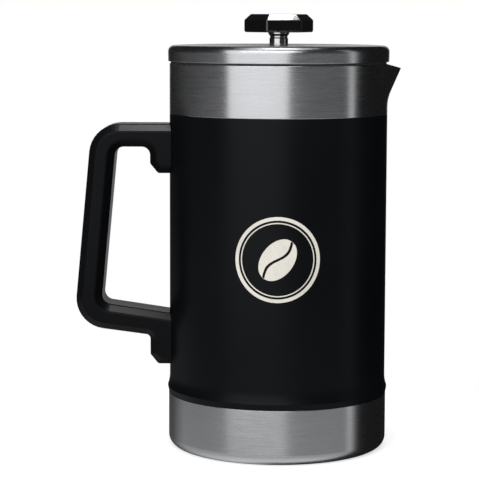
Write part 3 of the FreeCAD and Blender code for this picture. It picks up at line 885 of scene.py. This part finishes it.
polished_steel = polished("polished steel", (0.62, 0.62, 0.62), 0.06)
dress(polished_steel, chimney, ferrule, spring, "plunger_rod")
screw_steel = polished("screw steel", (0.50, 0.50, 0.51), 0.24)
dress(screw_steel, "handle_screws", "guide_nut", "filter_nut", "rod_end_nut")
bracket_steel = polished("bracket steel", (0.46, 0.46, 0.46), 0.38)
dress(bracket_steel, "upper_bracket", "lower_bracket", "getter")
brass = polished("brass", (0.74, 0.52, 0.24), 0.25)
dress(brass, "knob_insert")

# %% [markdown]
# ### Black coating and plastics
# The sleeve has a fine powder coat: black, satin, and very slightly pebbled where the powder flowed
# together. The handle is moulded in a fine spark-eroded texture; hands polish its edges, which the recipe
# doesn't add. The knob is moulded glossy. One recipe with different scales makes all of them.

# %% Coating and plastics


def dark_skin(name, colour, roughness, pebble, depth, coat=0.0, mottle=0.25, specular=0.5):
    """Black coating or plastic: pebbles of one size, and slow clouds in gloss and colour."""
    finish = Finish(name, Specular_IOR_Level=specular, Coat_Weight=coat, Coat_Roughness=0.03)
    pebbles = finish.noise(finish.place, 1 / pebble, 3.0, 0.55)
    clouds = finish.noise(finish.place, 18.0, 3.0)
    dark = tuple(c * (1 - mottle) for c in colour) + (1.0,)
    light = tuple(c * (1 + mottle) for c in colour) + (1.0,)
    shade = finish.sum_up("ADD", finish.sum_up("MULTIPLY", pebbles, 0.5),
                          finish.sum_up("MULTIPLY", clouds, 0.5))
    gloss = finish.sum_up("ADD", finish.spread(clouds, roughness - 0.03, roughness + 0.03),
                          finish.spread(pebbles, -0.03, 0.03))
    finish.set(Base_Color=finish.blend(finish.spread(shade, 0.0, 1.0, 0.35, 0.65), dark, light),
               Roughness=gloss, Normal=finish.bump(pebbles, depth))
    return finish.material


black_coat = dark_skin("black powder coat", (0.0027, 0.0032, 0.0042), 0.34, mm(0.35), mm(0.010),
                       specular=0.13)
dress(black_coat, sleeve)
handle_plastic = dark_skin("handle plastic", (0.0036, 0.0039, 0.0047), 0.30, mm(0.22), mm(0.006),
                           specular=0.08)
dress(handle_plastic, handle)
lid_plastic = dark_skin("lid plastic", (0.016, 0.016, 0.017), 0.42, mm(0.4), mm(0.01))
dress(lid_plastic, "lid_plug")
knob_plastic = dark_skin("gloss knob plastic", (0.004, 0.004, 0.0045), 0.06, mm(1.6), mm(0.0008), coat=0.8)
dress(knob_plastic, knob)
silicone = dark_skin("silicone", (0.03, 0.03, 0.032), 0.6, mm(0.5), mm(0.006))
dress(silicone, "rim_gasket", "rod_o_ring")

# %% [markdown]
# ### Badge print
# Screen ink is cream, matt and a little uneven, with pinholes where the coat's grain shows through.

# %% Badge print
print_finish = Finish("badge ink", Specular_IOR_Level=0.35)
ink_grain = print_finish.noise(print_finish.place, 2600.0, 2.0)
ink_cloud = print_finish.noise(print_finish.place, 60.0, 3.0)
ink_mix = print_finish.spread(print_finish.sum_up("MULTIPLY", ink_grain, ink_cloud), 0.0, 1.0, 0.15, 0.36)
print_finish.set(Base_Color=print_finish.blend(ink_mix, (0.70, 0.67, 0.60, 1), (0.86, 0.83, 0.76, 1)),
                 Roughness=print_finish.spread(ink_cloud, 0.45, 0.6),
                 Normal=print_finish.bump(ink_grain, mm(0.008)))
badge_ink = print_finish.material
dress(badge_ink, *emblem)

# %% [markdown]
# ## Studio
# The press stands on a pale round table in a white studio. Metal shows what stands around it, so the lights
# are large soft boxes placed round the press, and the room behind them is dim. A long box in front draws
# the broad bright band down the steel, a narrow one on the right draws a thin line, and one overhead lights
# the top. Two small lights reach one piece each: one whitens the knob's front chamfer, and one the handle's
# upper chamfer. The world looks white straight on and gives soft white fill, but it is dim in reflections.
# The table glows a little and is left out of reflections. The world gives the steel a softer glow from
# below in its place.

# %% Floor
let_go()
floor_radius = 0.2
bpy.ops.mesh.primitive_circle_add(vertices=128, radius=floor_radius, fill_type="NGON",
                                  location=(0, 0, -mm(0.05)))
floor = bpy.context.object
floor.name = "floor"
bpy.ops.object.transform_apply(location=True, rotation=True, scale=True)
floor.visible_glossy = False
floor.visible_diffuse = False
floor_finish = Finish("pale floor", Roughness=0.6, Emission_Color=(1, 1, 1, 1), Emission_Strength=0.5)
floor_cloud = floor_finish.noise(floor_finish.place, 6.0, 2.0)
floor_finish.set(Base_Color=floor_finish.blend(floor_cloud, (0.90, 0.90, 0.90, 1), (0.93, 0.93, 0.93, 1)))
floor.data.materials.append(floor_finish.material)

# %% World
world = bpy.data.worlds.new("studio")
bpy.context.scene.world = world
world.use_nodes = True
sky = world.node_tree
sky.nodes.clear()
rays = sky.nodes.new("ShaderNodeLightPath")
direction = sky.nodes.new("ShaderNodeTexCoord").outputs["Generated"]
parts = sky.nodes.new("ShaderNodeSeparateXYZ")
sky.links.new(direction, parts.inputs[0])


def sky_ramp(axis, start, end, low, high):
    """Brightness that goes from low to high while a direction's x, y or z goes from start to end."""
    ramp = sky.nodes.new("ShaderNodeMapRange")
    sky.links.new(parts.outputs[axis], ramp.inputs["Value"])
    for socket, value in (("From Min", start), ("From Max", end), ("To Min", low), ("To Max", high)):
        ramp.inputs[socket].default_value = value
    return ramp.outputs["Result"]


def sky_math(operation, first, second):
    node = sky.nodes.new("ShaderNodeMath")
    node.operation = operation
    for socket, value in zip(node.inputs, (first, second)):
        if isinstance(value, bpy.types.NodeSocket):
            sky.links.new(value, socket)
        else:
            socket.default_value = value
    return node.outputs[0]


room_front = sky_ramp("Y", 0.1, -0.5, 0.0, 0.03)
room_left = sky_ramp("X", 0.2, -0.4, 0.013, 0.022)
backdrop = sky_ramp("Y", 0.96, 0.985, 0.0, 0.7)
table_side = sky_math("MAXIMUM", sky_ramp("X", 0.0, -0.2, 0.0, 1.0), sky_ramp("Y", 0.08, -0.04, 0.0, 1.0))
table_glow = sky_math("ADD", sky_ramp("Z", -0.09, -0.24, 0.0, 0.43), sky_ramp("Z", -0.5, -0.9, 0.0, 0.35))
far_left = sky_ramp("Y", 0.45, 0.8, 1.0, 0.2)
table = sky_math("MULTIPLY", sky_math("MULTIPLY", table_side, far_left), table_glow)
in_reflections = sky_math("ADD", sky_math("ADD", room_front, room_left), sky_math("ADD", backdrop, table))
background = sky.nodes.new("ShaderNodeBackground")
background.inputs["Color"].default_value = (1, 1, 1, 1)
out = sky.nodes.new("ShaderNodeOutputWorld")
fill_light = 0.5
strength = sky_math("ADD", sky_math("MULTIPLY", rays.outputs["Is Glossy Ray"], in_reflections),
                    sky_math("ADD", rays.outputs["Is Camera Ray"],
                             sky_math("MULTIPLY", rays.outputs["Is Diffuse Ray"], fill_light)))
sky.links.new(strength, background.inputs["Strength"])
sky.links.new(background.outputs[0], out.inputs["Surface"])

# %% Lights


def soft_box(name, azimuth, distance, height, width, tall, power, aim_height=0.12, aside=0.0, only=None):
    """An area light round the press. Azimuth 0 is in front, on the -Y side, and grows towards +X. A light may
    stand aside along X, and may light only one piece."""
    angle = math.radians(azimuth)
    place = Vector((aside + distance * math.sin(angle), -distance * math.cos(angle), height))
    light = bpy.data.lights.new(name, "AREA")
    light.shape = "RECTANGLE"
    light.size = width
    light.size_y = tall
    light.energy = power
    lamp = bpy.data.objects.new(name, light)
    bpy.context.scene.collection.objects.link(lamp)
    aim = Vector((aside, 0, aim_height)) - place
    lamp.matrix_world = Matrix.Translation(place) @ aim.to_track_quat("-Z", "Y").to_matrix().to_4x4()
    lamp.visible_camera = False
    if only is not None:
        lit = bpy.data.collections.new(name + " lights")
        lit.objects.link(only)
        lamp.light_linking.receiver_collection = lit
    return lamp


soft_box("front box", -21.5, 1.5, 0.80, 2.15, 1.95, 17, aim_height=0.2)
soft_box("front top strip", -8, 1.5, 1.25, 1.9, 0.10, 5.5, aim_height=0.03)
soft_box("right strip", 81, 1.5, 0.5, 0.21, 1.8, 0.75)
soft_box("overhead box", 0, -0.03, 1.6, 0.9, 0.9, 2.8)
soft_box("overhead spot", 0, -0.05, 1.55, 0.44, 0.44, 1.8)
soft_box("knob light", 0, 0.12, 1.55, 0.11, 0.24, 4.2, aside=0.2, only=knob)
soft_box("handle light", 0, 0.13, 1.55, 0.22, 0.25, 10, aside=-0.09, only=handle)

# %% [markdown]
# ## Camera
# The camera stands in front of the press, a little above its middle, with a long lens, as for a catalogue.

# %% Camera
camera_place = Vector((0, -1.07304, 0.24261))
pitch, yaw, roll = 0.1176, -0.0200, -0.0028

forward = Vector((math.sin(yaw) * math.cos(pitch), math.cos(yaw) * math.cos(pitch), -math.sin(pitch)))
level_right = Vector((math.cos(yaw), -math.sin(yaw), 0))
level_down = forward.cross(level_right)
right = level_right * math.cos(roll) + level_down * math.sin(roll)
down = -level_right * math.sin(roll) + level_down * math.cos(roll)
lens = bpy.data.cameras.new("camera")
lens.lens = 144.67
lens.sensor_width = 36
camera = bpy.data.objects.new("camera", lens)
turn = Matrix((right, -down, -forward)).transposed()
camera.matrix_world = Matrix.Translation(camera_place) @ turn.to_4x4()
bpy.context.scene.collection.objects.link(camera)
bpy.context.scene.camera = camera
bpy.context.scene.view_settings.view_transform = "Standard"
